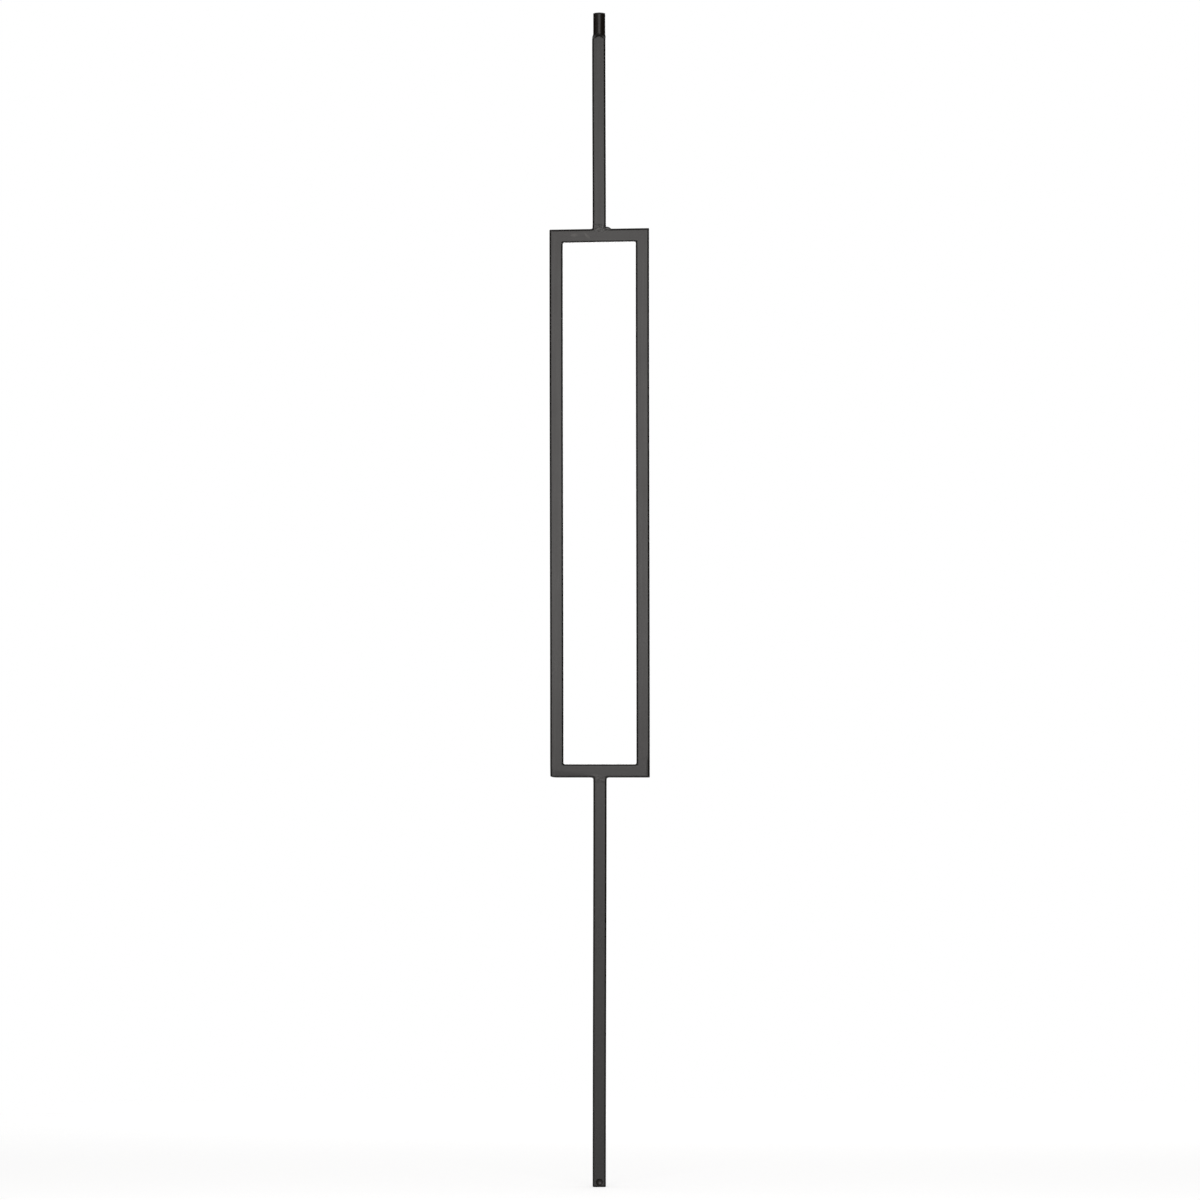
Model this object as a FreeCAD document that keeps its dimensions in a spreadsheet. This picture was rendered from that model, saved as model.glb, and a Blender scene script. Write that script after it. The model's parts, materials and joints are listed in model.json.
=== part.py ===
import FreeCAD
import Part
import Sketcher
import math
import os

# Iron stair baluster: square bar with a dowel turned on its top end, and a tall rectangular
# frame of the same bar, mitred at its corners and welded in part way up. Millimetres, +Z up.
# The origin is the centre of the foot. The frame lies in the XZ plane, and its front faces -Y.

# Driving dimensions
SIZES = [
    ("bar_side", 12.7, "side of the square bar, half an inch"),
    ("edge_radius", 1.9, "rounding of the bar's long edges"),
    ("lower_length", 389.5, "foot to the underside of the frame"),
    ("frame_height", 522.0, "height of the frame over its rails"),
    ("frame_width", 94.8, "width of the frame over its stiles"),
    ("corner_radius", 0.8, "dressing of the frame's outer corners"),
    ("upper_length", 206.1, "top of the frame to the tip of the dowel"),
    ("dowel_diameter", 11.5, "diameter of the turned dowel"),
    ("dowel_length", 19.8, "length of the dowel down to where its shoulder begins"),
    ("tip_radius", 1.0, "rounding of the rim at the dowel's tip"),
    ("tip_crown", 0.6, "rise of the dowel's domed end above that rim"),
    ("shoulder_radius", 7.3, "radius of the hollow shoulder that runs out into the bar"),
    ("foot_radius", 1.1, "rounding of the edges round the foot"),
    ("hole_diameter", 6.35, "diameter of the blind hole near the foot"),
    ("hole_height", 4.6, "height of that hole's centre above the foot"),
    ("hole_depth", 0.8, "depth of that hole's straight wall"),
    ("hole_dish", 0.8, "depth of its dished floor below the wall"),
    ("bead_radius", 3.0, "radius of the hollow face of a small bead"),
    ("corner_bead_leg", 1.6, "leg of the bead in each inner corner of the frame"),
    ("lower_bead_leg", 1.6, "leg of the beads beside the lower bar"),
    ("upper_bead_leg", 1.4, "leg of the bead to the left of the upper bar"),
    ("lump_rise", 1.8, "height of the heavy bead to the right of the upper bar"),
    ("lump_reach", 5.3, "length of that heavy bead along the rail"),
    ("lump_radius", 12.0, "radius of that heavy bead's rounded back"),
]

# Places and sizes that follow from them, as expressions
HALF = "Sizes.bar_side / 2"
FRAME_BOTTOM = "Sizes.lower_length"
FRAME_TOP = "(Sizes.lower_length + Sizes.frame_height)"
STILE_OFFSET = "(Sizes.frame_width - Sizes.bar_side) / 2"
CLEAR_HALF_WIDTH = "(Sizes.frame_width / 2 - Sizes.bar_side)"
DOWEL_RADIUS = "Sizes.dowel_diameter / 2"
DOWEL_ROOT = "(Sizes.upper_length - Sizes.dowel_length)"
SAW_OVERRUN = "Sizes.bar_side / 4"

# How a sketch numbers the ends of a span, and its own origin
START, END = range(1, 3)
SKETCH_ORIGIN = (-1, START)

Y_AXIS = FreeCAD.Vector(0, 1, 0)
Z_AXIS = FreeCAD.Vector(0, 0, 1)

doc = FreeCAD.newDocument("baluster")


def make_sheet():
    """The sheet of driving dimensions, one row each."""
    sheet = doc.addObject("Spreadsheet::Sheet", "Sizes")
    for row, (alias, value, note) in enumerate(SIZES, 1):
        sheet.set(f"A{row}", note)
        sheet.set(f"B{row}", str(value))
        sheet.setAlias(f"B{row}", alias)
    doc.recompute()


def make_body(label, angle=0, axis=Y_AXIS, place=()):
    """An empty body, turned about an axis, with its place bound to the sizes."""
    body = doc.addObject("PartDesign::Body", label)
    body.Label = label
    body.Placement = FreeCAD.Placement(FreeCAD.Vector(), FreeCAD.Rotation(axis, angle))
    for direction, expression in place:
        body.setExpression(f"Placement.Base.{direction}", expression)
    return body


def make_sketch(body, name, role, offset="0"):
    """A sketch on one of the body's origin planes, moved along its normal by an offset."""
    planes = {plane.Role: plane for plane in body.Origin.OriginFeatures}
    sketch = body.newObject("Sketcher::SketchObject", name)
    sketch.AttachmentSupport = [(planes[role], "")]
    sketch.MapMode = "FlatFace"
    sketch.setExpression("AttachmentOffset.Base.z", offset)
    return sketch


def bind(sketch, constraint, expression):
    """Add a dimension to a sketch and bind it to the sizes."""
    index = sketch.addConstraint(constraint)
    sketch.setExpression(f"Constraints[{index}]", expression)


def arc_span(start, end, radius, turn):
    """An arc from start to end that turns left (1) or right (-1) on its way."""
    chord = end - start
    middle = (start + end) / 2
    left = FreeCAD.Vector(-chord.y, chord.x, 0).normalize()
    height = math.sqrt(max(radius ** 2 - (chord.Length / 2) ** 2, 0))
    centre = middle + left * (turn * height)
    first, last = (start, end) if turn > 0 else (end, start)
    angles = [math.atan2(point.y - centre.y, point.x - centre.x) for point in (first, last)]
    return Part.ArcOfCircle(Part.Circle(centre, Z_AXIS, radius), angles[0], angles[1])


def draw_outline(sketch, corners, arcs=None):
    """Draw a closed outline through corners given as expressions.

    Spans are straight, or arcs where arcs gives a radius and a turn for the corner they start at.
    """
    arcs = arcs or {}
    points = [FreeCAD.Vector(*(sketch.evalExpression(place) for place in corner), 0) for corner in corners]
    spans = []
    for number, start in enumerate(points):
        end = points[(number + 1) % len(points)]
        if number in arcs:
            radius, turn = arcs[number]
            shape = arc_span(start, end, sketch.evalExpression(radius), turn)
        else:
            turn = 1
            shape = Part.LineSegment(start, end)
        first, last = (START, END) if turn > 0 else (END, START)
        spans.append((sketch.addGeometry(shape), first, last))
    for number, (span, _, last) in enumerate(spans):
        following, its_first, _ = spans[(number + 1) % len(spans)]
        sketch.addConstraint(Sketcher.Constraint("Coincident", span, last, following, its_first))
    for (span, first, _), point, (across, up) in zip(spans, points, corners):
        place_x = Sketcher.Constraint("DistanceX", *SKETCH_ORIGIN, span, first, point.x)
        place_y = Sketcher.Constraint("DistanceY", *SKETCH_ORIGIN, span, first, point.y)
        bind(sketch, place_x, across)
        bind(sketch, place_y, up)
    for number, (radius, _) in arcs.items():
        size = Sketcher.Constraint("Radius", spans[number][0], sketch.evalExpression(radius))
        bind(sketch, size, radius)


def add_pad(body, name, sketch, length, symmetric=False):
    """Pad a sketch, to one side or evenly to both."""
    pad = body.newObject("PartDesign::Pad", name)
    pad.Profile = sketch
    pad.SideType = "Symmetric" if symmetric else "One side"
    pad.setExpression("Length", length)
    doc.recompute()
    return pad


def add_square_bar(body, name, length):
    """Give a body one length of square bar along its own +Z, with its long edges rounded."""
    section = make_sketch(body, name + "_section", "XY_Plane")
    low = f"-({HALF})"
    draw_outline(section, [(low, low), (HALF, low), (HALF, HALF), (low, HALF)])
    bar = add_pad(body, name + "_stock", section, length)
    long_edges = []
    for number, edge in enumerate(bar.Shape.Edges, 1):
        if abs(edge.tangentAt(edge.FirstParameter).z) > 0.5:
            long_edges.append(f"Edge{number}")
    rounding = body.newObject("PartDesign::Fillet", name + "_edges")
    rounding.Base = (bar, long_edges)
    rounding.setExpression("Radius", "Sizes.edge_radius")
    doc.recompute()
    return rounding


def require_cut(before, after, what):
    """Stop if a cut left its solid as it was."""
    if after.Shape.Volume > before.Shape.Volume - 1e-3:
        raise RuntimeError(f"{what} cut nothing")


def add_turned_cut(body, name, sketch, before, what):
    """Cut a body with a sketch turned all the way round the sketch's own vertical axis."""
    cut = body.newObject("PartDesign::Groove", name)
    cut.Profile = sketch
    cut.ReferenceAxis = (sketch, ["V_Axis"])
    cut.Angle = 360
    doc.recompute()
    require_cut(before, cut, what)


def cap_radius(half_width, rise):
    """The radius of an arc that rises so far over so much half width, as an expression."""
    return f"(({half_width}) ^ 2 + ({rise}) ^ 2) / (2 * {rise})"


def make_upper_bar():
    """The bar above the frame, up to the end of the hollow shoulder that leads into its dowel."""
    body = make_body("upper_bar", place=[("z", FRAME_TOP)])
    bar = add_square_bar(body, "upper_bar", DOWEL_ROOT)
    turning = make_sketch(body, "shoulder_turning", "XZ_Plane")
    above = f"{DOWEL_ROOT} + {SAW_OVERRUN}"
    low = f"{DOWEL_ROOT} - Sizes.shoulder_radius"
    flare = f"({DOWEL_RADIUS} + Sizes.shoulder_radius)"
    outside = f"({flare} + Sizes.bar_side)"
    corners = [
        (DOWEL_RADIUS, above),
        (DOWEL_RADIUS, DOWEL_ROOT),
        (flare, low),
        (outside, low),
        (outside, above),
    ]
    draw_outline(turning, corners, arcs={1: ("Sizes.shoulder_radius", 1)})
    add_turned_cut(body, "shoulder", turning, bar, "the shoulder")
    return body


def make_dowel():
    """The dowel turned on the same bar, as a solid that stands on the shoulder's round end."""
    body = make_body("dowel_pin", place=[("z", f"{FRAME_TOP} + {DOWEL_ROOT}")])
    turning = make_sketch(body, "dowel_turning", "XZ_Plane")
    rim_width = f"({DOWEL_RADIUS} - Sizes.tip_radius)"
    rim = "(Sizes.dowel_length - Sizes.tip_crown)"
    corners = [
        ("0", "0"),
        (DOWEL_RADIUS, "0"),
        (DOWEL_RADIUS, f"{rim} - Sizes.tip_radius"),
        (rim_width, rim),
        ("0", "Sizes.dowel_length"),
    ]
    arcs = {2: ("Sizes.tip_radius", 1), 3: (cap_radius(rim_width, "Sizes.tip_crown"), 1)}
    draw_outline(turning, corners, arcs)
    dowel = body.newObject("PartDesign::Revolution", "dowel")
    dowel.Profile = turning
    dowel.ReferenceAxis = (turning, ["V_Axis"])
    dowel.Angle = 360
    doc.recompute()
    return body


def make_lower_bar():
    """The bar below the frame, with a rounded foot and a blind hole with a dished floor in its front face."""
    body = make_body("lower_bar")
    bar = add_square_bar(body, "lower_bar", "Sizes.lower_length")
    foot_faces = []
    for number, face in enumerate(bar.Shape.Faces, 1):
        if abs(face.CenterOfMass.z) < 1e-6:
            foot_faces.append(f"Face{number}")
    foot = body.newObject("PartDesign::Fillet", "foot")
    foot.Base = (bar, foot_faces)
    foot.setExpression("Radius", "Sizes.foot_radius")
    doc.recompute()
    boring = make_sketch(body, "hole_boring", "XY_Plane", offset="Sizes.hole_height")
    radius = "Sizes.hole_diameter / 2"
    front = f"-({HALF})"
    mouth = f"{front} - {SAW_OVERRUN}"
    wall_end = f"{front} + Sizes.hole_depth"
    corners = [
        ("0", mouth),
        (radius, mouth),
        (radius, wall_end),
        ("0", f"{wall_end} + Sizes.hole_dish"),
    ]
    draw_outline(boring, corners, arcs={2: (cap_radius(radius, "Sizes.hole_dish"), 1)})
    add_turned_cut(body, "blind_hole", boring, foot, "the blind hole")
    return body


def draw_mitre(sketch, height, turn):
    """Draw what the saw and the file take off one end of a frame bar.

    height turns a distance from that end into a height in the sketch. The cut runs up at 45 degrees
    from the outer corner, which is dressed to an arc that turns left (1) or right (-1).
    """
    outer = f"-({HALF})"
    outside = f"-({HALF}) - {SAW_OVERRUN}"
    inside = f"{HALF} + {SAW_OVERRUN}"
    dressed = "Sizes.corner_radius"
    halfway = "Sizes.corner_radius * (1 - sqrt(0.5))"
    outline = [
        (outer, dressed),
        (f"{outer} + {halfway}", halfway),
        (inside, f"Sizes.bar_side + {SAW_OVERRUN}"),
        (inside, f"-({SAW_OVERRUN})"),
        (outside, f"-({SAW_OVERRUN})"),
        (outside, dressed),
    ]
    corners = [(across, height.format(along)) for across, along in outline]
    draw_outline(sketch, corners, arcs={0: (dressed, turn)})


def make_frame_bar(label, length, angle, axis, place):
    """One side of the frame, along its own +Z, its ends mitred so that its +X side is the inner one."""
    body = make_body(label, angle, axis, place)
    bar = add_square_bar(body, label, length)
    mitres = make_sketch(body, label + "_mitres", "XZ_Plane")
    draw_mitre(mitres, "{}", 1)
    draw_mitre(mitres, length + " - ({})", -1)
    saw = body.newObject("PartDesign::Pocket", label + "_saw")
    saw.Profile = mitres
    saw.Type = "ThroughAll"
    saw.SideType = "Symmetric"
    doc.recompute()
    require_cut(bar, saw, f"the mitre of {label}")
    return body


def make_cut(label, base, tool):
    """What is left of one object after another is taken out of it."""
    cut = doc.addObject("Part::Cut", label)
    cut.Label = label
    cut.Base = base
    cut.Tool = tool
    doc.recompute()
    return cut


def make_weld(label, bars, corners, arcs, angle, place):
    """Weld metal between two bars, flush with their faces: a padded outline less the bars."""
    metal = make_body(label + "_metal", angle, Y_AXIS, place)
    run = make_sketch(metal, label + "_run", "XZ_Plane")
    draw_outline(run, corners, arcs)
    add_pad(metal, label + "_pad", run, "Sizes.bar_side", symmetric=True)
    trimmed = make_cut(label + "_trimmed", metal, bars[0])
    return make_cut(label, trimmed, bars[1])


def make_tee_weld(label, bars, angle, height, left, right, right_arc):
    """The weld round the end of a bar that stands on a rail.

    left and right give each bead's rise up the bar and its reach along the rail.
    """
    left_toe = f"-({HALF} + {left[1]})"
    right_toe = f"{HALF} + {right[1]}"
    sunk = "-Sizes.edge_radius"
    corners = [
        (left_toe, "0"),
        (left_toe, sunk),
        (right_toe, sunk),
        (right_toe, "0"),
        (HALF, right[0]),
        (f"-({HALF})", left[0]),
    ]
    arcs = {3: right_arc, 5: ("Sizes.bead_radius", -1)}
    return make_weld(label, bars, corners, arcs, angle, [("z", height)])


def make_corner_weld(label, bars, angle, across, height):
    """The bead in one inner corner of the frame."""
    leg = "Sizes.corner_bead_leg"
    sunk = "-Sizes.edge_radius"
    corners = [(sunk, sunk), (leg, sunk), (leg, "0"), ("0", leg), (sunk, leg)]
    arcs = {2: ("Sizes.bead_radius", -1)}
    return make_weld(label, bars, corners, arcs, angle, [("x", across), ("z", height)])


def make_parts():
    """Every sub-part of the baluster, in its place."""
    upper_bar = make_upper_bar()
    dowel = make_dowel()
    lower_bar = make_lower_bar()
    left_stile = make_frame_bar("left_stile", "Sizes.frame_height", 0, Z_AXIS,
                                [("x", f"-({STILE_OFFSET})"), ("z", FRAME_BOTTOM)])
    right_stile = make_frame_bar("right_stile", "Sizes.frame_height", 180, Z_AXIS,
                                 [("x", STILE_OFFSET), ("z", FRAME_BOTTOM)])
    bottom_rail = make_frame_bar("bottom_rail", "Sizes.frame_width", -90, Y_AXIS,
                                 [("x", "Sizes.frame_width / 2"), ("z", f"{FRAME_BOTTOM} + {HALF}")])
    top_rail = make_frame_bar("top_rail", "Sizes.frame_width", 90, Y_AXIS,
                              [("x", "-Sizes.frame_width / 2"), ("z", f"{FRAME_TOP} - {HALF}")])

    lump = ("Sizes.lump_rise", "Sizes.lump_reach")
    small = ("Sizes.upper_bead_leg", "Sizes.upper_bead_leg")
    even = ("Sizes.lower_bead_leg", "Sizes.lower_bead_leg")
    upper_weld = make_tee_weld("upper_weld", [upper_bar, top_rail], 0, FRAME_TOP,
                               small, lump, ("Sizes.lump_radius", 1))
    lower_weld = make_tee_weld("lower_weld", [lower_bar, bottom_rail], 180, FRAME_BOTTOM,
                               even, even, ("Sizes.bead_radius", -1))

    low = f"{FRAME_BOTTOM} + Sizes.bar_side"
    high = f"{FRAME_TOP} - Sizes.bar_side"
    left = f"-{CLEAR_HALF_WIDTH}"
    inner_corners = [
        ("bottom_left_weld", [left_stile, bottom_rail], 0, left, low),
        ("bottom_right_weld", [right_stile, bottom_rail], -90, CLEAR_HALF_WIDTH, low),
        ("top_right_weld", [right_stile, top_rail], 180, CLEAR_HALF_WIDTH, high),
        ("top_left_weld", [left_stile, top_rail], 90, left, high),
    ]
    corner_welds = [make_corner_weld(*corner) for corner in inner_corners]
    bars = [upper_bar, dowel, top_rail, left_stile, right_stile, bottom_rail, lower_bar]
    return bars + [upper_weld, lower_weld] + corner_welds


def check(parts):
    """Stop if any object failed to build or any sub-part has no sound solid."""
    for item in doc.Objects:
        if "Invalid" in item.State or "Error" in item.State:
            raise RuntimeError(f"{item.Label} failed: {item.State}")
    for part in parts:
        if part.Shape.isNull() or not part.Shape.isValid() or not part.Shape.Solids:
            raise RuntimeError(f"{part.Label} has no sound solid")


make_sheet()
parts = make_parts()
doc.recompute()
check(parts)
os.makedirs("parts", exist_ok=True)
for part in parts:
    part.Shape.exportStep(f"parts/{part.Label}.step")
    print(part.Label, len(part.Shape.Solids), round(part.Shape.Volume, 3))
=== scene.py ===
import json
import math

import bpy
import numpy as np
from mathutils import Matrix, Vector, noise


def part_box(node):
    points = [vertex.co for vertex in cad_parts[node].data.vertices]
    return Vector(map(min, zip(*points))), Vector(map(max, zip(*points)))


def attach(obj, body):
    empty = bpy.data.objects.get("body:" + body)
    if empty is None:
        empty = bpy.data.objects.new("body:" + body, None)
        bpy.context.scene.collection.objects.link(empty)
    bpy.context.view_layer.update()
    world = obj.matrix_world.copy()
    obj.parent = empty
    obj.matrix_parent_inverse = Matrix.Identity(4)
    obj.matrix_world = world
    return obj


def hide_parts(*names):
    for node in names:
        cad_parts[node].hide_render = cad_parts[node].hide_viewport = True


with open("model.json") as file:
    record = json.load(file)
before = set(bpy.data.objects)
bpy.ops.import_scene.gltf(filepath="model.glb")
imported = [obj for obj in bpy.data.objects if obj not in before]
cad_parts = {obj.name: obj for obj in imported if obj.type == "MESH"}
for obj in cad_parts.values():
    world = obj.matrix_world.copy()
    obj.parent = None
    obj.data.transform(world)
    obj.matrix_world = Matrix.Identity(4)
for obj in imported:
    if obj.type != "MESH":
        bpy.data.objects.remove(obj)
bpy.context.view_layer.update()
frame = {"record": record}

# The looks of a coated iron stair baluster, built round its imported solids: square bars with eased
# edges, a dowel turned on the top end, a drilled hole near the foot and hand-laid welds.
# Metres, +Z up, with the front facing -Y.

MM = 0.001

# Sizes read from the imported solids
LOWER_LOW, LOWER_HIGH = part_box("lower_bar")
DOWEL = next(mount for mount in frame["record"]["mounts"] if mount["name"] == "dowel")
SIDE = LOWER_HIGH.x - LOWER_LOW.x
HALF = SIDE / 2
FRAME_BOTTOM = LOWER_HIGH.z
FRAME_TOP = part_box("upper_bar")[0].z
FRAME_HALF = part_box("right_stile")[1].x
WINDOW_HALF = FRAME_HALF - SIDE
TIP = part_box("dowel_pin")[1].z
DOWEL_RADIUS = DOWEL["dims"]["r_mm"] * MM
DOWEL_ROOT = DOWEL["pos_m"][2] - DOWEL["dims"]["length_mm"] * MM / 2
LUMP_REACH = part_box("upper_weld")[1].x - HALF
LUMP_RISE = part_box("upper_weld")[1].z - FRAME_TOP

# Fine sizes of the bars
EDGE = 1.9 * MM
BAR_OVERLAP = 0.5 * MM
SHOULDER = 7.3 * MM
ARCH_REACH = 0.85 * SHOULDER
ARCH_EASE = 0.2 * MM
TIP_ROUND = 1.0 * MM
TIP_CROWN = 0.6 * MM
FOOT_ROUND = 1.1 * MM
HOLE_RADIUS = 3.175 * MM
HOLE_HEIGHT = 4.6 * MM
HOLE_DEPTH = 0.8 * MM
HOLE_LIP = 0.2 * MM
HOLE_DISH = 0.8 * MM
HOLE_SLOPE = 0.11
HOLE_SLOPE_UP = 0.05

# Spacing of the bars' meshes
CORNER_STEPS = 8
FLAT_STEPS = 12
RING_STEP = 3.0 * MM
END_RINGS = np.array([0, 0.1, 0.25, 0.45, 0.7, 1, 1.3, 1.7, 2.3, 3.2, 4.6, 6.6, 9]) * MM
SHOULDER_STEP = 0.13 * MM
DOWEL_STEP = 1 * MM
TIP_STEPS = 8
CROWN_SHARES = (0.95, 0.85, 0.7, 0.5, 0.3, 0.05)
FOOT_STEPS = 6
HOLE_RINGS = 14
LIP_STEPS = 4
WALL_STEPS = 2
DISH_START = 0.9
SIDE_COLUMNS = np.array([0.5, 0.93])
ABOVE_HOLE = np.array([0.4, 1.0, 1.8]) * MM
ON_FACE = 1e-7
PATCH_SHARE = 1 - 1e-6
SHARP_ANGLE = math.radians(38)


def ease(value, start, end):
    """0 up to start, 1 from end on, and smooth between them."""
    share = np.clip((value - start) / (end - start), 0, 1)
    return share * share * (3 - 2 * share)


def smaller(first, second, width):
    """The smaller of two values, with the change from one to the other rounded over a width."""
    overlap = np.maximum(width - np.abs(first - second), 0)
    return np.minimum(first, second) - overlap ** 2 / (4 * width)


def sine_spacing(steps):
    """Shares from 0 to 1 that lie closer together towards both ends."""
    return 0.5 + 0.5 * np.sin(np.linspace(-math.pi / 2, math.pi / 2, steps + 1))


def stations(start, end, step=RING_STEP):
    """Heights from start up to but not including end, about one step apart."""
    count = max(1, round((end - start) / step))
    return np.linspace(start, end, count, endpoint=False)


# Bars

CORNER_SIGNS = ((1, 1), (-1, 1), (-1, -1), (1, -1))
EVEN_FLAT = sine_spacing(FLAT_STEPS)[1:-1]


def outline(third_flat=EVEN_FLAT):
    """The section of a bar, anticlockwise from its first coordinate's + side.

    third_flat gives how the points of the -second side are spaced.
    """
    arcs = []
    for corner, signs in enumerate(CORNER_SIGNS):
        turn = math.pi / 2 * (corner + np.linspace(0, 1, CORNER_STEPS + 1))
        centre = np.array(signs) * (HALF - EDGE)
        arcs.append(centre + EDGE * np.stack([np.cos(turn), np.sin(turn)], axis=-1))
    points = []
    for corner, arc in enumerate(arcs):
        shares = third_flat if corner == 2 else EVEN_FLAT
        following = arcs[(corner + 1) % 4][0]
        points.append(arc)
        points.append(arc[-1] + (following - arc[-1]) * shares[:, None])
    return np.concatenate(points)


def loft(rings):
    """Points and faces of a closed skin over rings of equally many points, capped at both ends."""
    count, around, _ = rings.shape
    here = np.arange(around)
    beside = np.roll(here, -1)
    below = around * np.arange(count - 1)[:, None]
    above = below + around
    belts = np.stack([below + here, below + beside, above + beside, above + here], axis=-1)
    faces = belts.reshape(-1, 4).tolist()
    faces.append(here[::-1].tolist())
    faces.append((here + around * (count - 1)).tolist())
    return rings.reshape(-1, 3), faces


def frame_bar(rail, outer):
    """A side of the frame between its two mitres: a rail along X or a stile along Z.

    outer is -1 or 1, the end of X or Z that its outer face looks to.
    """
    low, high = (-FRAME_HALF, FRAME_HALF) if rail else (FRAME_BOTTOM, FRAME_TOP)
    if rail:
        middle = FRAME_TOP - HALF if outer > 0 else FRAME_BOTTOM + HALF
    else:
        middle = outer * (FRAME_HALF - HALF)
    length = high - low
    ends = END_RINGS / length
    between = np.linspace(ends[-1], 1 - ends[-1], round(length / RING_STEP))[1:-1]
    section = outline()
    across = section[:, 1] if rail else section[:, 0]
    setback = HALF - outer * across
    rings = []
    for share in np.concatenate([ends, between, 1 - ends[::-1]]):
        along = low + setback + share * (length - 2 * setback)
        if rail:
            rings.append(np.stack([along, section[:, 0], middle + across], axis=-1))
        else:
            rings.append(np.stack([middle + across, section[:, 1], along], axis=-1))
    return loft(np.array(rings))


def turned_radius(height):
    """Radius left by the lathe at a height: a straight dowel, a rounded tip and a hollow shoulder."""
    below = np.clip(DOWEL_ROOT - height, 0, SHOULDER)
    above = np.clip(height - (TIP - TIP_CROWN - TIP_ROUND), 0, TIP_ROUND)
    flare = SHOULDER - np.sqrt(SHOULDER ** 2 - below ** 2)
    return DOWEL_RADIUS + flare - TIP_ROUND + np.sqrt(TIP_ROUND ** 2 - above ** 2)


def upper_bar():
    """The bar above the frame, turned down to a dowel whose shoulder runs out as arches on its flats."""
    arch_foot = DOWEL_ROOT - ARCH_REACH
    round_start = TIP - TIP_CROWN - TIP_ROUND
    heights = np.concatenate([
        stations(FRAME_TOP - BAR_OVERLAP, arch_foot),
        stations(arch_foot, DOWEL_ROOT, SHOULDER_STEP),
        stations(DOWEL_ROOT, round_start, DOWEL_STEP),
        round_start + TIP_ROUND * np.sin(np.linspace(0, math.pi / 2, TIP_STEPS + 1)),
    ])
    section = outline()
    reach = np.hypot(section[:, 0], section[:, 1])
    rings = []
    for height in heights:
        left = smaller(reach, turned_radius(height), ARCH_EASE) if height > arch_foot else reach
        flat = section * (left / reach)[:, None]
        rings.append(np.column_stack([flat, np.full(len(flat), height)]))
    top = rings[-1]
    for share in CROWN_SHARES:
        rings.append(top * (share, share, 1) + (0, 0, TIP_CROWN * (1 - share ** 2)))
    return loft(np.array(rings))


def hole_profile():
    """Radius and depth of the hole by ring, from its rounded lip in to the middle of its dished floor."""
    turn = np.linspace(0, math.pi / 2, LIP_STEPS + 1)
    lip_radius = HOLE_RADIUS + HOLE_LIP * (1 - np.sin(turn))
    lip = np.stack([lip_radius, HOLE_LIP * (1 - np.cos(turn))], axis=-1)
    wall_depth = np.linspace(HOLE_LIP, HOLE_DEPTH, WALL_STEPS + 1)[1:]
    wall = np.stack([np.full(WALL_STEPS, HOLE_RADIUS), wall_depth], axis=-1)
    ball = (HOLE_RADIUS ** 2 + HOLE_DISH ** 2) / (2 * HOLE_DISH)
    dish_radius = HOLE_RADIUS * np.linspace(DISH_START, 0, HOLE_RINGS - len(lip) - len(wall))
    dish_depth = HOLE_DEPTH + HOLE_DISH - ball + np.sqrt(ball ** 2 - dish_radius ** 2)
    return np.concatenate([lip, wall, np.stack([dish_radius, dish_depth], axis=-1)])


def drill(points, square):
    """Turn a square patch of the front face into the hole, square ring by square ring.

    The hole's floor runs a little deeper to the right and upwards.
    """
    across = points[:, 0] / square
    up = (points[:, 2] - HOLE_HEIGHT) / square
    share = np.maximum(np.abs(across), np.abs(up))
    patch = (points[:, 1] < -HALF + ON_FACE) & (share < PATCH_SHARE)
    ring = np.rint(HOLE_RINGS * (1 - share[patch])).astype(int)
    across = across[patch]
    up = up[patch]
    wide = np.abs(across) >= np.abs(up)
    with np.errstate(divide="ignore", invalid="ignore"):
        quarter = math.pi / 4 * np.where(wide, up / across, across / up)
    quarter = np.nan_to_num(quarter)
    angle = np.where(wide, quarter + math.pi * (across < 0), math.pi / 2 - quarter + math.pi * (up < 0))
    radius, depth = hole_profile()[ring - 1].T
    aside = radius * np.cos(angle)
    above = radius * np.sin(angle)
    slope = HOLE_SLOPE * aside + HOLE_SLOPE_UP * above
    points[patch, 0] = aside
    points[patch, 1] += depth + slope * ease(depth, HOLE_LIP, HOLE_DEPTH)
    points[patch, 2] = HOLE_HEIGHT + above
    return points


def lower_bar():
    """The bar below the frame, with an eased sawn foot and the blind hole in its front face."""
    square = HOLE_HEIGHT - FOOT_ROUND
    flat_half = HALF - EDGE
    hole_columns = np.linspace(-square, square, 2 * HOLE_RINGS + 1)
    side_columns = SIDE_COLUMNS * (flat_half - square) + square
    columns = np.concatenate([-side_columns[::-1], hole_columns, side_columns])
    section = outline(third_flat=0.5 + 0.5 * columns / flat_half)
    turn = np.linspace(0, math.pi / 2, FOOT_STEPS + 1)[:-1]
    heights = np.concatenate([
        FOOT_ROUND * (1 - np.cos(turn)),
        HOLE_HEIGHT + hole_columns,
        HOLE_HEIGHT + square + ABOVE_HOLE,
        stations(HOLE_HEIGHT + square + RING_STEP, FRAME_BOTTOM),
        [FRAME_BOTTOM + BAR_OVERLAP],
    ])
    insets = np.zeros(len(heights))
    insets[:FOOT_STEPS] = FOOT_ROUND * (1 - np.sin(turn))
    rings = []
    for inset, height in zip(insets, heights):
        rings.append(np.column_stack([section * (1 - inset / HALF), np.full(len(section), height)]))
    points, faces = loft(np.array(rings))
    return drill(points, square), faces


# Welds

# How far a weld stands proud, and how deep its thin edge lies under the bars
PROUD = 0.05 * MM
BURIED = 0.2 * MM

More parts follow.
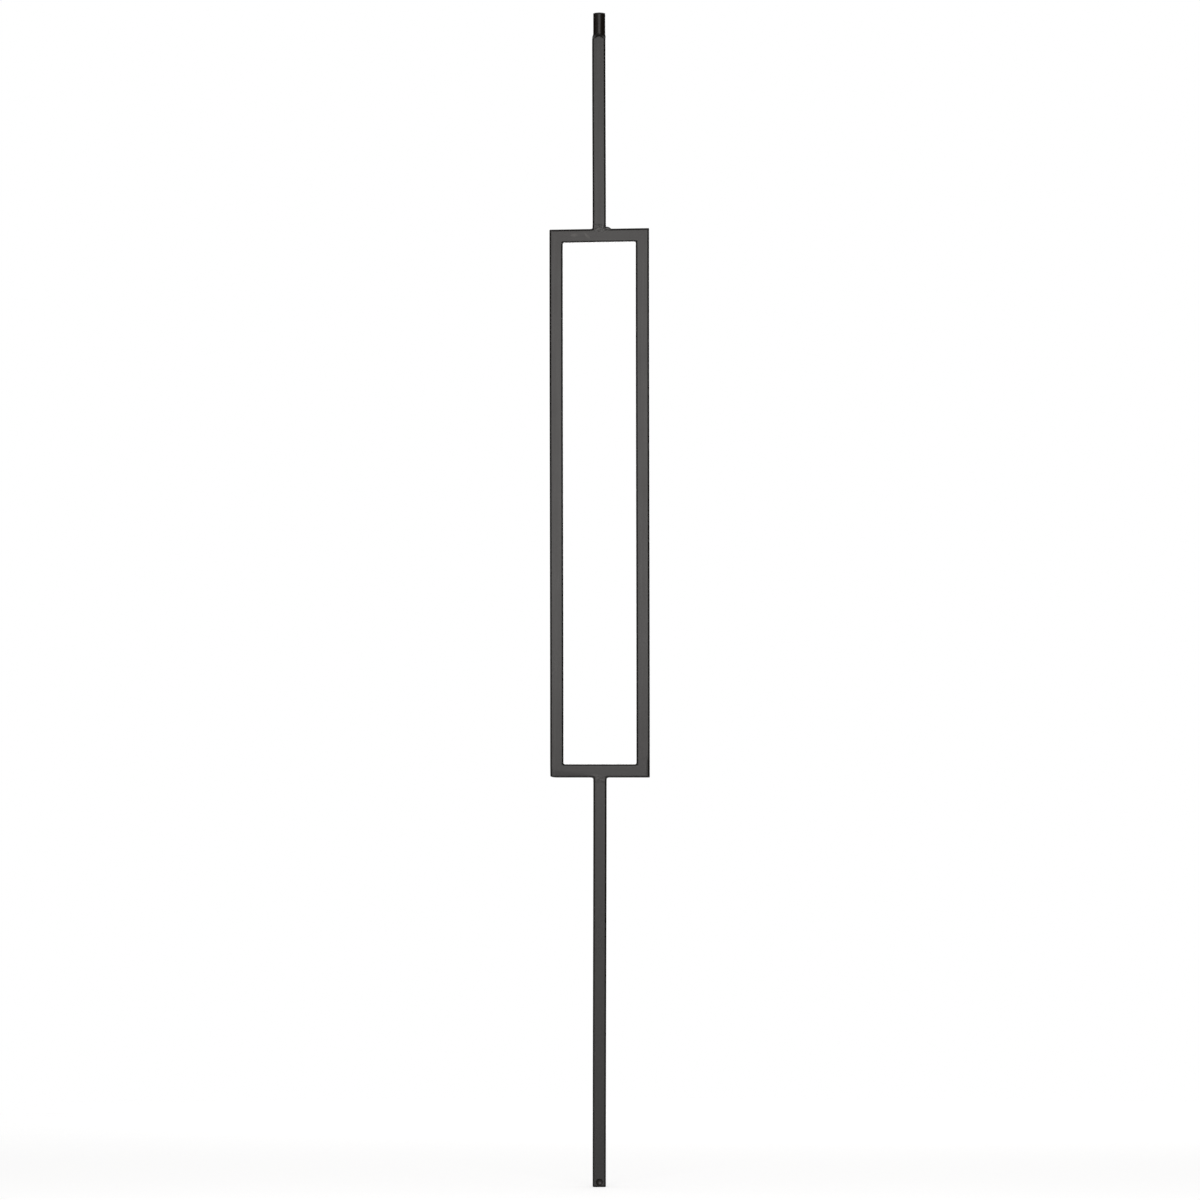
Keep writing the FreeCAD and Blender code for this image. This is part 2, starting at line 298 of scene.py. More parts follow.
# The welds at the tees: their fillets, how far they are ground over the rail and up the bar, and
# how that ends
UPPER_FILLET = 1.6 * MM
LOWER_FILLET = 1.9 * MM
GROUND_RUN = (5 * MM, 7 * MM)
GROUND_TURN = 2 * MM
RUN_OUT = 3.5 * MM
RUN_OUT_ASIDE = 0.2
SMALL_BEAD_SHORT = 0.6
SMALL_BEAD_START = 1 * MM
TEE_LIMIT = max(GROUND_RUN) + 3 * MM

# The heavy bead on the right of the upper tee
LUMP_EDGE = 1.1 * MM
LUMP_SHARE = 0.96
LUMP_TOP = 1.05
LUMP_FALL = 2.2
LUMP_SLANT = 0.85
LUMP_SET_BACK = 0.12 * MM
LUMP_BLEND = 0.3 * MM

# Roughness of the tees' welds: height and size of two grains, and the ripple of the beads
FINE_GRAIN = (0.06 * MM, 1.2 * MM)
BROAD_GRAIN = (0.05 * MM, 4 * MM)
RIPPLE_HEIGHT = 0.05 * MM
RIPPLE_PITCH = 1.5 * MM
RIPPLE_SLANT = 0.25
RIPPLE_START = 0.8 * MM

# The beads in the frame's inner corners
CORNER_FILLET = 1.5 * MM
CORNER_LIMIT = 4 * MM
CORNER_SUNK = (1.4 * MM, CORNER_LIMIT - 1 * MM)
CORNER_GRAIN = (0.05 * MM, 2.2 * MM)

# The grid that the welds are meshed on, and the room round them
CELL = 0.24 * MM
MARGIN = 2 * CELL
FACE_MARGIN = 1 * MM
CELL_SIDES = ((0, 0), (0, 1), (1, 0), (1, 1))


def deep(outline_distance, y, edge=EDGE, half=HALF):
    """Distance to a shape so deep each way, with eased edges, from the distance to its outline."""
    out = outline_distance + edge
    out_y = np.abs(y) - (half - edge)
    outside = np.hypot(np.maximum(out, 0), np.maximum(out_y, 0))
    return outside + np.minimum(np.maximum(out, out_y), 0) - edge


def grain(x, y, z, metal, height, size):
    """Smooth noise of a height and size, worked out only near the metal's surface."""
    close = np.abs(metal) < MARGIN
    value = np.zeros(x.shape)
    places = np.stack([x[close], y[close], z[close]], axis=-1) / size
    value[close] = [noise.noise(Vector(place)) for place in places]
    return height * value


def cell_points(value):
    """Which grid cells a surface crosses, and its mean place in each, in cells from the grid's start."""
    cells = np.array(value.shape) - 1
    total = np.zeros((*cells, 3))
    hits = np.zeros(cells)

    def corner(offset):
        return value[tuple(slice(step, step + size) for step, size in zip(offset, cells))]

    for axis in range(3):
        for sides in CELL_SIDES:
            start = np.insert(sides, axis, 0)
            near = corner(start)
            far = corner(np.insert(sides, axis, 1))
            crossed = (near < 0) != (far < 0)
            hits += crossed
            total += crossed[..., None] * start
            gap = np.where(crossed, near - far, 1)
            total[..., axis] += np.where(crossed, near / gap, 0)
    used = hits > 0
    return used, np.argwhere(used) + total[used] / hits[used][:, None]


def cell_faces(inside, number):
    """A four-sided face across each grid edge that a surface crosses, from the numbers of the cells."""
    faces = []
    one = np.eye(3, dtype=int)
    for axis in range(3):
        second = one[(axis + 1) % 3]
        third = one[(axis + 2) % 3]
        window = [slice(1, -1)] * 3
        window[axis] = slice(0, -1)
        beyond = list(window)
        beyond[axis] = slice(1, None)
        near = inside[tuple(window)]
        crossed = np.argwhere(near != inside[tuple(beyond)])
        outward = near[tuple(crossed.T)]
        place = crossed + 1 - one[axis]
        around = (place, place - second, place - second - third, place - third)
        quads = np.stack([number[tuple(cell.T)] for cell in around], axis=-1)
        quads[~outward] = quads[~outward][:, ::-1]
        faces += quads.tolist()
    return faces


def skin(field, low, high):
    """Points and faces of the closed surface where a field changes sign, one point to each cell."""
    counts = np.ceil((high - low) / CELL).astype(int) + 1
    axes = [low[axis] + CELL * np.arange(counts[axis]) for axis in range(3)]
    value = field(*np.meshgrid(*axes, indexing="ij"))
    used, places = cell_points(value)
    number = np.full(used.shape, -1)
    number[used] = np.arange(used.sum())
    return low + CELL * places, cell_faces(value < 0, number)


def heavy_bead(x, y, rise):
    """Distance to the heavy bead on the right of a tee, whose back falls away from the bar."""
    length = LUMP_SHARE * LUMP_REACH
    share = np.clip((x - HALF) / length, 0, 1)
    beyond = np.maximum(x - HALF - length, 0)
    back = LUMP_TOP * LUMP_RISE * (1 - share ** LUMP_FALL) - beyond
    heavy = np.maximum(LUMP_SLANT * (rise - back), HALF - EDGE - x)
    return deep(heavy, y, LUMP_EDGE, HALF - LUMP_SET_BACK)


def tee_weld(level, upward, fillet, lump):
    """The weld round the end of a bar that stands on a rail, ground nearly flush on the front and back.

    upward is 1 where the bar goes up from the level and -1 where it goes down. fillet is the width of
    the hollow in the corners, and lump says whether the bead on the right is the heavy one.
    """
    def field(x, y, z):
        rise = upward * (z - level)
        across = np.abs(x) - HALF
        metal = deep(smaller(across, rise, fillet), y)
        if lump:
            metal = smaller(metal, heavy_bead(x, y, rise), LUMP_BLEND)
        beside = np.maximum(across, 0)
        past_bar = -x - HALF if lump else across
        small_bead = ease(past_bar, 0, SMALL_BEAD_START)
        reach = np.hypot(beside, rise) * (1 + SMALL_BEAD_SHORT * small_bead)
        over_rail, up_bar = GROUND_RUN
        edge = over_rail + (up_bar - over_rail) * ease(rise, -GROUND_TURN, GROUND_TURN)
        left = 1 - ease(reach - RUN_OUT_ASIDE * beside, edge - RUN_OUT, edge)
        relief = grain(x, y, z, metal, *FINE_GRAIN) + grain(x, y, z, metal, *BROAD_GRAIN)
        wave = np.cos(2 * math.pi * (y + RIPPLE_SLANT * rise) / RIPPLE_PITCH)
        ripple = RIPPLE_HEIGHT * wave * ease(beside, 0, RIPPLE_START)
        proud = left * (PROUD + BURIED + relief + ripple) - BURIED
        return np.maximum(metal - proud, reach - TEE_LIMIT)

    box = np.array([HALF + TEE_LIMIT, HALF + FACE_MARGIN, TEE_LIMIT]) + MARGIN
    centre = np.array([0, 0, level])
    return skin(field, centre - box, centre + box)


def corner_weld(sideways, upward):
    """The bead in an inner corner of the frame, on the side of X and Z that the two signs give."""
    corner_x = sideways * WINDOW_HALF
    corner_z = FRAME_TOP - SIDE if upward > 0 else FRAME_BOTTOM + SIDE

    def field(x, y, z):
        beside = sideways * (corner_x - x)
        above = upward * (corner_z - z)
        metal = deep(smaller(beside, above, CORNER_FILLET), y)
        reach = np.hypot(beside, above)
        sunk = ease(reach, *CORNER_SUNK) * (PROUD + BURIED) - PROUD / 2
        relief = grain(x, y, z, metal, *CORNER_GRAIN)
        return np.maximum(metal + sunk - relief, reach - CORNER_LIMIT)

    box = np.array([CORNER_LIMIT, HALF + FACE_MARGIN, CORNER_LIMIT]) + MARGIN
    centre = np.array([corner_x, 0, corner_z])
    return skin(field, centre - box, centre + box)


# What the welding bench and the grinder left out of true

LOWER_BOW = 0.7 * MM
UPPER_LEAN = 0.45 * MM
TILT = 0.0165
TILT_FADE = 110 * MM
TILT_FADE_ABOVE = TILT_FADE / 3
CORNER_ROUND = 0.9 * MM
LOWER_LEFT = (-1, -1)
GROUND_ALONG = 7.0 * MM
GROUND_UP = 1.6 * MM
GROUND_LEAN = 0.2 * MM
GROUND_LEAN_UP = 18 * MM
FACET_UP = 7.3 * MM
FACET_NARROWING = 0.11
FACET_SLOPE = 0.045
FACET_END = (28 * MM, 42 * MM)
WORN_ACROSS = 5 * MM
WORN_CURVE = 25
WORN_END = (15 * MM, 21 * MM)


def dress(points, sideways, upward, along, up):
    """Bring points near an outer corner of the frame in to a round that is so long each way."""
    from_side = FRAME_HALF - sideways * points[:, 0]
    from_end = FRAME_TOP - points[:, 2] if upward > 0 else points[:, 2] - FRAME_BOTTOM
    out_side = (along - from_side) / along
    out_end = (up - from_end) / up
    reach = np.hypot(out_side, out_end)
    moved = (out_side > 0) & (out_end > 0) & (reach > 1)
    points[moved, 0] = sideways * (FRAME_HALF - along * (1 - out_side[moved] / reach[moved]))
    inward = up * (1 - out_end[moved] / reach[moved])
    points[moved, 2] = FRAME_TOP - inward if upward > 0 else FRAME_BOTTOM + inward


def dress_corners(points):
    """Take the sharpness off the frame's outer corners, most of all off the lower left one."""
    for sideways in (-1, 1):
        for upward in (-1, 1):
            if (sideways, upward) == LOWER_LEFT:
                dress(points, sideways, upward, GROUND_ALONG, GROUND_UP)
            else:
                dress(points, sideways, upward, CORNER_ROUND, CORNER_ROUND)


def bow(z):
    """How far to the right the baluster is bent at a height: most at the frame's lower end, and to the
    left under the shoulder of the dowel, which was turned true to the whole length."""
    shoulder_foot = DOWEL_ROOT - SHOULDER
    right = ease(z, 0, FRAME_BOTTOM) * (1 - ease(z, FRAME_BOTTOM, FRAME_TOP))
    left = ease(z, FRAME_TOP, shoulder_foot) * (1 - ease(z, shoulder_foot, DOWEL_ROOT))
    return LOWER_BOW * right - UPPER_LEAN * left


def ground_aside(x, z):
    """How far to the right the grinding took the frame's left side near its lower corner."""
    from_left = np.clip(1 - (x + FRAME_HALF) / SIDE, 0, 1)
    from_bottom = np.clip(1 - np.abs(z - FRAME_BOTTOM) / GROUND_LEAN_UP, 0, 1)
    return GROUND_LEAN * from_left * from_bottom ** 2


def ground_back(x, y, z):
    """How far back the grinding took the front of the frame: a long flat that narrows from the lower
    left corner, and a rounder edge at the lower right one."""
    along = x + FRAME_HALF
    up = np.maximum(z - FRAME_BOTTOM, 0)
    inside = np.maximum(FACET_UP - FACET_NARROWING * along - up, 0)
    facet = FACET_SLOPE * inside * (1 - ease(along, *FACET_END))
    beside = np.maximum(WORN_ACROSS - (FRAME_HALF - x), 0)
    worn = WORN_CURVE * beside ** 2 * (1 - ease(up, *WORN_END))
    return (facet + worn) * ease(-y, 0, HALF)


def tilt_up(x, z):
    """How far the top rail climbs at a place: up on the right, and down on the left."""
    below = ease(z, FRAME_TOP - TILT_FADE, FRAME_TOP - SIDE)
    above = ease(z, FRAME_TOP, FRAME_TOP + TILT_FADE_ABOVE)
    return TILT * x * (below * (1 - above))


def as_built(points):
    """Points of the true baluster where the bench and the grinder left them."""
    dress_corners(points)
    x, y, z = points.T
    return np.stack([
        x + ground_aside(x, z) + bow(z),
        y + ground_back(x, y, z),
        z + tilt_up(x, z),
    ], axis=-1)


# Materials

# How deep a spot on the front face reaches, and one that goes all round a bar
SPOT_DEPTH = 0.75 * SIDE
ALL_ROUND = 1.0
SPOT_CORE = 0.2

# The coat: its greys, and the sizes and heights of what shows in it
COAT_COLOURS = ((0.0068, 0.0060, 0.0053, 1), (0.0090, 0.0080, 0.0072, 1))
DOWEL_COLOUR = (0.0085, 0.0064, 0.0050, 1)
HOLE_COLOUR = (0.0110, 0.0070, 0.0050, 1)
HOLE_TINT = 1.3 * HOLE_RADIUS
CLOUD_SIZE = 35 * MM
CLOUD_RANGE = (0.35, 0.65)
LINE_SIZE = 1.4 * MM
LINE_HEIGHT = 0.012 * MM
PEEL_SIZE = 1.6 * MM
PEEL_HEIGHT = 0.006 * MM
GRIT_SIZE = 0.35 * MM
GRIT_HEIGHT = 0.0015 * MM
SHEEN_RANGE = (0.7, 1.3)
SATIN_ROUGHNESS = (0.265, 0.325)
DULL_ROUGHNESS = 0.8
SPECULAR = 0.25

# How far the lines of the drawing are stretched along X, Y and Z
DRAWN_UPRIGHT = (1, 1, 60)
DRAWN_ACROSS = (60, 1, 1)
NOT_DRAWN = (2, 2, 2)

# Pale rubs on the top rail: middle, length, width and turn of each
RAIL_SMEARS = (
    ((-24.0 * MM, -HALF, FRAME_TOP - 6.0 * MM), 4.5 * MM, 2.0 * MM, 0.05),
    ((-11.8 * MM, -HALF, FRAME_TOP - 6.6 * MM), 5.0 * MM, 1.5 * MM, -0.8),
)
SMEAR_COLOUR = (0.042, 0.039, 0.036, 1)

# Flecks and pits in the coat round the tees
UPPER_FLECKS = (1.5 * MM, 0, FRAME_TOP + 0.3 * MM)
LOWER_FLECKS = (0.7 * MM, 0, FRAME_BOTTOM - 0.3 * MM)
LOWER_FLECK_SHARE = 0.45
FLECK_REACH = (11.5 * MM, 4.2 * MM)
FLECK_CORE = 0.6
FLECK_SIZE = 1.25 * MM
FLECK_RANGE = (0.53, 0.66)
FLECK_COLOUR = (0.06, 0.057, 0.053, 1)
PIT_RANGE = (0.36, 0.47)
PIT_DEPTH = 0.5

# Where the coat is thin: up to which height on the foot's rim, and in the hole
THIN_RIM = (1.3 * MM, 1.9 * MM)
HOLE_MOUTH = (0, -HALF, HOLE_HEIGHT)
THIN_HOLE = 3.4 * MM
THIN_CORE = 0.85
COATED_FLOOR = (0.7 * MM, -HALF, HOLE_HEIGHT - 0.4 * MM)
COATED_RADIUS = 2.7 * MM
COATED_CORE = 0.5


def add_node(tree, kind, inputs=None, **settings):
    """A new node with its settings, and with values or other nodes' sockets on its inputs."""
    made = tree.nodes.new(kind)
    for name, value in settings.items():
        setattr(made, name, value)
    for name, value in (inputs or {}).items():
        if isinstance(value, bpy.types.NodeSocket):
            tree.links.new(value, made.inputs[name])
        else:
            made.inputs[name].default_value = value
    return made


def new_material(name):
    """An empty node material, with its tree and its output node."""
    material = bpy.data.materials.new(name)
    material.use_nodes = True
    tree = material.node_tree
    tree.nodes.clear()
    return material, tree, tree.nodes.new("ShaderNodeOutputMaterial")


def combine(tree, operation, first, second, **settings):
    """The result of a sum on two values."""
    inputs = {0: first, 1: second}
    return add_node(tree, "ShaderNodeMath", inputs, operation=operation, **settings).outputs[0]


def map_range(tree, value, low, high, to_low, to_high):
    """A value carried from one range to another, held at the ends."""
    inputs = {"Value": value, "From Min": low, "From Max": high, "To Min": to_low, "To Max": to_high}
    return add_node(tree, "ShaderNodeMapRange", inputs).outputs["Result"]


def mix_colour(tree, share, first, second):
    """A blend of two colours."""
    inputs = {0: share, 6: first, 7: second}
    return add_node(tree, "ShaderNodeMix", inputs, data_type="RGBA").outputs[2]


def noise_at(tree, place, size, detail):
    """Noise with features of a size in metres."""
    inputs = {"Vector": place, "Scale": 1 / size, "Detail": detail}
    return add_node(tree, "ShaderNodeTexNoise", inputs).outputs["Fac"]


def smear(tree, place, middle, length, width, turn=0, core=SPOT_CORE, depth=SPOT_DEPTH):
    """1 in the core of a long soft spot, turned by an angle about Y, and 0 outside it."""
    inputs = {
        "Vector": place,
        "Location": middle,
        "Rotation": (0, -turn, 0),
        "Scale": (length, depth, width),
    }
    spot = add_node(tree, "ShaderNodeMapping", inputs, vector_type="TEXTURE").outputs[0]
    distance = add_node(tree, "ShaderNodeVectorMath", {0: spot}, operation="LENGTH").outputs["Value"]
    return map_range(tree, distance, core, 1, 1, 0)


def coat_colour(tree, place, height, clouds):
    """Cloudy near black, browner on the dowel and in the hole, with pale rubs on the top rail."""
    colour = mix_colour(tree, map_range(tree, clouds, *CLOUD_RANGE, 0, 1), *COAT_COLOURS)
    on_dowel = map_range(tree, height, DOWEL_ROOT - SHOULDER / 2, DOWEL_ROOT, 0, 1)
    colour = mix_colour(tree, on_dowel, colour, DOWEL_COLOUR)
    in_hole = smear(tree, place, HOLE_MOUTH, HOLE_TINT, HOLE_TINT)
    colour = mix_colour(tree, in_hole, colour, HOLE_COLOUR)
    for middle, length, width, turn in RAIL_SMEARS:
        rubbed = smear(tree, place, middle, length, width, turn)
        colour = mix_colour(tree, rubbed, colour, SMEAR_COLOUR)
    return colour


def thin_coat(tree, place, height):
    """1 where the coat is thin and dull: on the foot's sawn rim, and in the hole but for one side of
    its floor."""
    rim = map_range(tree, height, *THIN_RIM, 1, 0)
    hole = smear(tree, place, HOLE_MOUTH, THIN_HOLE, THIN_HOLE, core=THIN_CORE)
    coated = smear(tree, place, COATED_FLOOR, COATED_RADIUS, COATED_RADIUS, core=COATED_CORE)
    bare = combine(tree, "SUBTRACT", hole, coated, use_clamp=True)
    return combine(tree, "MAXIMUM", rim, bare)


def add_flecks(tree, place, colour, thin):
    """The coat's colour and thin places with the pale flecks and dull pits round the tees."""
    upper = smear(tree, place, UPPER_FLECKS, *FLECK_REACH, core=FLECK_CORE, depth=ALL_ROUND)
    lower = smear(tree, place, LOWER_FLECKS, *FLECK_REACH, core=FLECK_CORE, depth=ALL_ROUND)
    near = combine(tree, "MAXIMUM", upper, combine(tree, "MULTIPLY", lower, LOWER_FLECK_SHARE))
    speck = noise_at(tree, place, FLECK_SIZE, 1)
    pale = map_range(tree, speck, *FLECK_RANGE, 0, near)
    pits = map_range(tree, speck, *PIT_RANGE, combine(tree, "MULTIPLY", near, PIT_DEPTH), 0)
    return mix_colour(tree, pale, colour, FLECK_COLOUR), combine(tree, "MAXIMUM", thin, pits)


def add_bumps(tree, *bumps):
    """The surface's direction over bumps that are laid one on another, each a pattern and its height."""
    normal = None
    for pattern, height in bumps:
        inputs = {"Height": pattern, "Strength": 1.0, "Distance": height}
        if normal is not None:
            inputs["Normal"] = normal
        normal = add_node(tree, "ShaderNodeBump", inputs).outputs["Normal"]
    return normal


def black_coat(name, drawn):
    """Satin powder coat over drawn bar: near black, a little warm, with cloudy sheen and orange peel.

    drawn is how much the faint lines of the drawing are stretched along X, Y and Z.
    """
    material, tree, output = new_material(name)
    place = add_node(tree, "ShaderNodeTexCoord").outputs["Object"]
    height = add_node(tree, "ShaderNodeSeparateXYZ", {"Vector": place}).outputs["Z"]
    stretch = {"Vector": place, "Scale": drawn}
    stretched = add_node(tree, "ShaderNodeMapping", stretch, vector_type="TEXTURE").outputs[0]
    clouds = noise_at(tree, place, CLOUD_SIZE, 4)
    lines = noise_at(tree, stretched, LINE_SIZE, 3)
    peel = noise_at(tree, place, PEEL_SIZE, 1)
    grit = noise_at(tree, place, GRIT_SIZE, 2)

    colour = coat_colour(tree, place, height, clouds)
    thin = thin_coat(tree, place, height)
    colour, thin = add_flecks(tree, place, colour, thin)
    sheen = combine(tree, "ADD", clouds, lines)
    satin = map_range(tree, sheen, *SHEEN_RANGE, *SATIN_ROUGHNESS)
    shader = add_node(tree, "ShaderNodeBsdfPrincipled", {
        "Base Color": colour,
        "Roughness": map_range(tree, thin, 0, 1, satin, DULL_ROUGHNESS),
        "Specular IOR Level": SPECULAR,
        "Normal": add_bumps(tree, (peel, PEEL_HEIGHT), (lines, LINE_HEIGHT), (grit, GRIT_HEIGHT)),
    })
    tree.links.new(shader.outputs["BSDF"], output.inputs["Surface"])
    return material


def seen_directly(tree):
    """1 for what the camera, gloss and clear things see, and 0 for light that falls on a surface."""
    path = add_node(tree, "ShaderNodeLightPath").outputs
    glossy = combine(tree, "MAXIMUM", path["Is Glossy Ray"], path["Is Transmission Ray"])
    return combine(tree, "MAXIMUM", path["Is Camera Ray"], glossy)


# The studio

WHITE = (1, 1, 1, 1)
AMBIENT = 0.42
FLOOR_RADIUS = 2.4
FLOOR_SIDES = 96
FLOOR_FADE = (0.35 * FLOOR_RADIUS, 0.95 * FLOOR_RADIUS)
FLOOR_COLOUR = (0.8, 0.8, 0.8, 1)
FLOOR_LIFT = 0.53

# Softboxes: name, place, what each is turned to, width, height and radiance
LAMP_COLOUR = (1, 0.97, 0.955)
SOFTBOXES = (
    ("tall_softbox", (0, -2.0, 0.80), (0, 0, 0.80), 1.1, 0.86, 5.0),
    ("middle_softbox", (0, -2.02, 0.51), (0, 0, 0.51), 1.1, 0.3, 1.5),
    ("low_softbox", (0, -1.98, 0.04), (0, 0, 0.04), 1.1, 0.08, 8.0),
    ("back_softbox", (0.3, 2.4, 0.85), (0, 0, 0.7), 1.0, 1.0, 3.0),
)

# Cards: where the upright ones stand on the right-hand side, the lie of the others, and their greys
SCREEN_FRONT = [(0.6, -1.25), (1.4, -0.25)]
SCREEN_BACK = [(1.4, -0.25), (1.3, 0.9), (0.6, 1.5)]
SCREEN_HEIGHT = 1.8
OVERHEAD = [(-1.3, 1.9), (-0.3, 2.4)]
OVERHEAD_HALF = 1
# How far the black card in front of the foot reaches: painted shade that stands for the floor's contact
# shadow in the foot's gloss
FOOT_SHADOW_CARD = 3 * MM
BARELY_UP = 0.2 * MM
PALE_CARD = 0.7
BLACK_CARD = 0.02
DARK_CARD = 0.04


def floor_material():
    """Pale floor that keeps the shadow near the object and fades into the white background."""
    material, tree, output = new_material("pale_floor")
    place = add_node(tree, "ShaderNodeTexCoord").outputs["Object"]
    distance = add_node(tree, "ShaderNodeVectorMath", {0: place}, operation="LENGTH").outputs["Value"]
    faded = map_range(tree, distance, *FLOOR_FADE, 0, 1)
    diffuse = add_node(tree, "ShaderNodeBsdfDiffuse", {"Color": FLOOR_COLOUR})
    lift = combine(tree, "MULTIPLY", seen_directly(tree), FLOOR_LIFT)
    glow = add_node(tree, "ShaderNodeEmission", {"Strength": lift})
    lit = add_node(tree, "ShaderNodeAddShader", {0: diffuse.outputs[0], 1: glow.outputs[0]})
    clear = add_node(tree, "ShaderNodeBsdfTransparent")
    layers = {0: faded, 1: lit.outputs[0], 2: clear.outputs[0]}
    surface = add_node(tree, "ShaderNodeMixShader", layers)
    tree.links.new(surface.outputs[0], output.inputs["Surface"])
    return material


def add_floor():
    """A round of pale floor under the foot."""
    turn = np.linspace(0, 2 * math.pi, FLOOR_SIDES, endpoint=False)
    rim = [(FLOOR_RADIUS * math.cos(angle), FLOOR_RADIUS * math.sin(angle), 0) for angle in turn]
    mesh = bpy.data.meshes.new("floor")
    mesh.from_pydata(rim, [], [list(range(len(rim)))])
    mesh.materials.append(floor_material())
    floor = bpy.data.objects.new("floor", mesh)
    bpy.context.scene.collection.objects.link(floor)


def add_world():
    """A white surround for what is seen, and softer light on surfaces."""
    world = bpy.data.worlds.new("studio")
    bpy.context.scene.world = world
    world.use_nodes = True
    tree = world.node_tree
    tree.nodes.clear()
    soft = add_node(tree, "ShaderNodeBackground", {"Color": WHITE, "Strength": AMBIENT})
    white = add_node(tree, "ShaderNodeBackground", {"Color": WHITE, "Strength": 1.0})
    layers = {0: seen_directly(tree), 1: soft.outputs[0], 2: white.outputs[0]}
    mixed = add_node(tree, "ShaderNodeMixShader", layers)
    output = tree.nodes.new("ShaderNodeOutputWorld")
    tree.links.new(mixed.outputs[0], output.inputs["Surface"])


def add_softbox(name, place, target, width, height, radiance):
    """A rectangular soft light, not seen by the camera, whose face has a radiance."""
    light = bpy.data.lights.new(name, "AREA")
    light.shape = "RECTANGLE"
    light.size = width
    light.size_y = height
    light.energy = radiance * math.pi * width * height
    light.color = LAMP_COLOUR
    lamp = bpy.data.objects.new(name, light)
    lamp.location = place
    lamp.rotation_euler = (Vector(target) - Vector(place)).to_track_quat("-Z", "Y").to_euler()
    lamp.visible_camera = False
    bpy.context.scene.collection.objects.link(lamp)


def add_lights():
    """Three frontal softboxes that the flat faces mirror, brightest above the middle, and one behind."""
    for softbox in SOFTBOXES:
        add_softbox(*softbox)


def add_card(name, low, high, grey):
    """A studio card that only gloss shows, between a low and a high row of points."""
    material, tree, output = new_material(name)
    shader = add_node(tree, "ShaderNodeBsdfDiffuse", {"Color": (grey, grey, grey, 1)})
    tree.links.new(shader.outputs["BSDF"], output.inputs["Surface"])
    mesh = bpy.data.meshes.new(name)
    count = len(low)
    panels = [(place, place + 1, count + place + 1, count + place) for place in range(count - 1)]
    mesh.from_pydata(low + high, [], panels)
    mesh.materials.append(material)
    card = bpy.data.objects.new(name, mesh)
    bpy.context.scene.collection.objects.link(card)
    card.visible_camera = False
    card.visible_diffuse = False
    card.visible_shadow = False


def add_screen(name, side, places, grey):
    """An upright card along places on the floor, on the left (-1) or the right (1)."""
    low = [(side * x, y, 0) for x, y in places]
    add_card(name, low, [(x, y, SCREEN_HEIGHT) for x, y, _ in low], grey)


def add_cards():
    """A pale card to the left, black ones round both sides, a black one in front of the foot that is
    painted shade standing for the floor's contact shadow in the foot's gloss, and a dark one overhead,
    whose reflections draw the dark lines along the bars' edges."""
    add_screen("pale_card", -1, SCREEN_FRONT, PALE_CARD)
    add_screen("left_flag", -1, SCREEN_BACK, BLACK_CARD)
    add_screen("right_flag", 1, SCREEN_FRONT[:-1] + SCREEN_BACK, BLACK_CARD)
    # The card in front of the foot is painted shade: a black sheet that stands for the floor's contact
    # shadow where the foot's gloss sees the floor
    foot_shadow_row = [(-SIDE, y, BARELY_UP) for y in (-HALF - FOOT_SHADOW_CARD, -HALF - BARELY_UP)]
    add_card("foot_shadow_card", foot_shadow_row, [(SIDE, y, z) for _, y, z in foot_shadow_row], BLACK_CARD)
    overhead = [(-OVERHEAD_HALF, y, z) for y, z in OVERHEAD]
    add_card("overhead_card", overhead, [(OVERHEAD_HALF, y, z) for _, y, z in overhead], DARK_CARD)


# The photograph's frame: its width in pixels, one pixel's size on the front face, and where the
# object's axis and foot lie in it
PHOTO_PIXELS = 1200
PIXEL = 0.9511 * MM
AXIS_COLUMN = 599.25
FOOT_ROW = 1187.15

# The camera's lens and sensor in millimetres, and how far it sees in metres
LENS = 400
SENSOR = 36
FARTHEST = 100


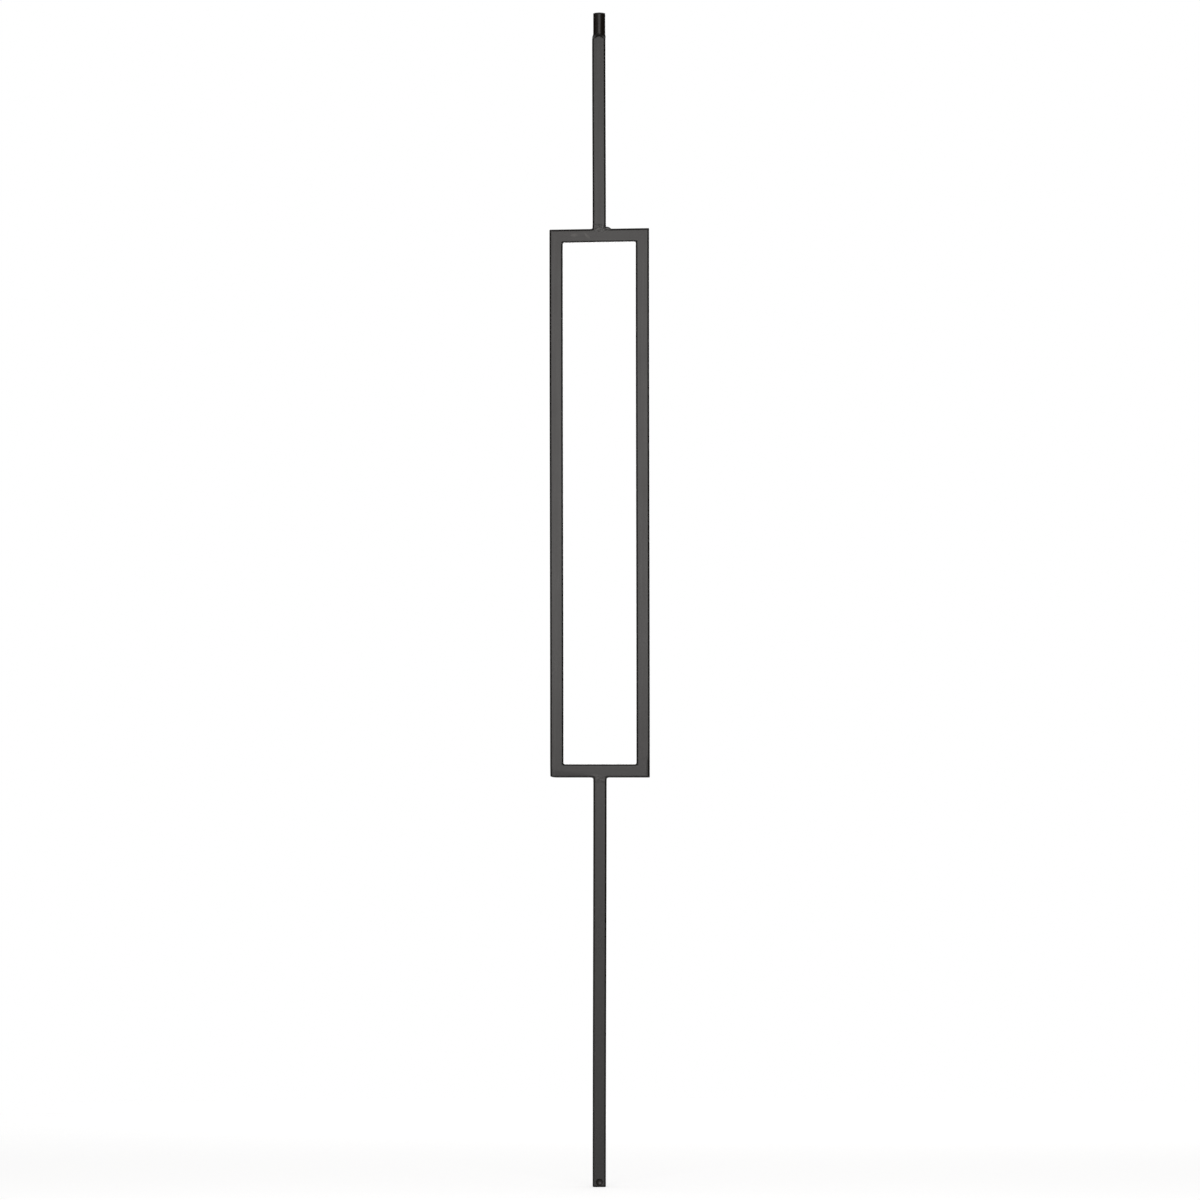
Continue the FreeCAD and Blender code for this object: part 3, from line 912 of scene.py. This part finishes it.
def add_camera():
    """A long lens square on to the front, framed as in the photograph."""
    camera = bpy.data.cameras.new("camera")
    camera.lens = LENS
    camera.sensor_width = SENSOR
    camera.clip_end = FARTHEST
    holder = bpy.data.objects.new("camera", camera)
    distance = PHOTO_PIXELS * PIXEL * LENS / SENSOR
    across = (PHOTO_PIXELS / 2 - AXIS_COLUMN) * PIXEL
    up = (FOOT_ROW - PHOTO_PIXELS / 2) * PIXEL
    holder.location = (across, -HALF - distance, up)
    holder.rotation_euler = (math.pi / 2, 0, 0)
    bpy.context.scene.collection.objects.link(holder)
    bpy.context.scene.camera = holder


# The baluster

def add_piece(node, shape, material, *others):
    """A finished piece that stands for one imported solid, or for others as well."""
    points, faces = shape
    mesh = bpy.data.meshes.new(node + "_finish")
    mesh.from_pydata(as_built(np.array(points)).tolist(), [], faces)
    mesh.shade_smooth()
    mesh.set_sharp_from_angle(angle=SHARP_ANGLE)
    mesh.materials.append(material)
    piece = bpy.data.objects.new(node + "_finish", mesh)
    bpy.context.scene.collection.objects.link(piece)
    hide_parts(node, *others)
    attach(piece, "root")


def add_baluster():
    """Every bar and weld, in place of its solid."""
    coat = black_coat("coat_on_uprights", DRAWN_UPRIGHT)
    rail_coat = black_coat("coat_on_rails", DRAWN_ACROSS)
    weld_coat = black_coat("coat_on_welds", NOT_DRAWN)
    add_piece("upper_bar", upper_bar(), coat, "dowel_pin")
    add_piece("lower_bar", lower_bar(), coat)
    add_piece("left_stile", frame_bar(rail=False, outer=-1), coat)
    add_piece("right_stile", frame_bar(rail=False, outer=1), coat)
    add_piece("top_rail", frame_bar(rail=True, outer=1), rail_coat)
    add_piece("bottom_rail", frame_bar(rail=True, outer=-1), rail_coat)
    add_piece("upper_weld", tee_weld(FRAME_TOP, 1, UPPER_FILLET, lump=True), weld_coat)
    add_piece("lower_weld", tee_weld(FRAME_BOTTOM, -1, LOWER_FILLET, lump=False), weld_coat)
    for name, sideways in (("left", -1), ("right", 1)):
        add_piece(f"top_{name}_weld", corner_weld(sideways, 1), weld_coat)
        add_piece(f"bottom_{name}_weld", corner_weld(sideways, -1), weld_coat)


add_baluster()
add_floor()
add_world()
add_lights()
add_cards()
add_camera()
bpy.context.scene.view_settings.view_transform = "Standard"

bpy.context.view_layer.update()
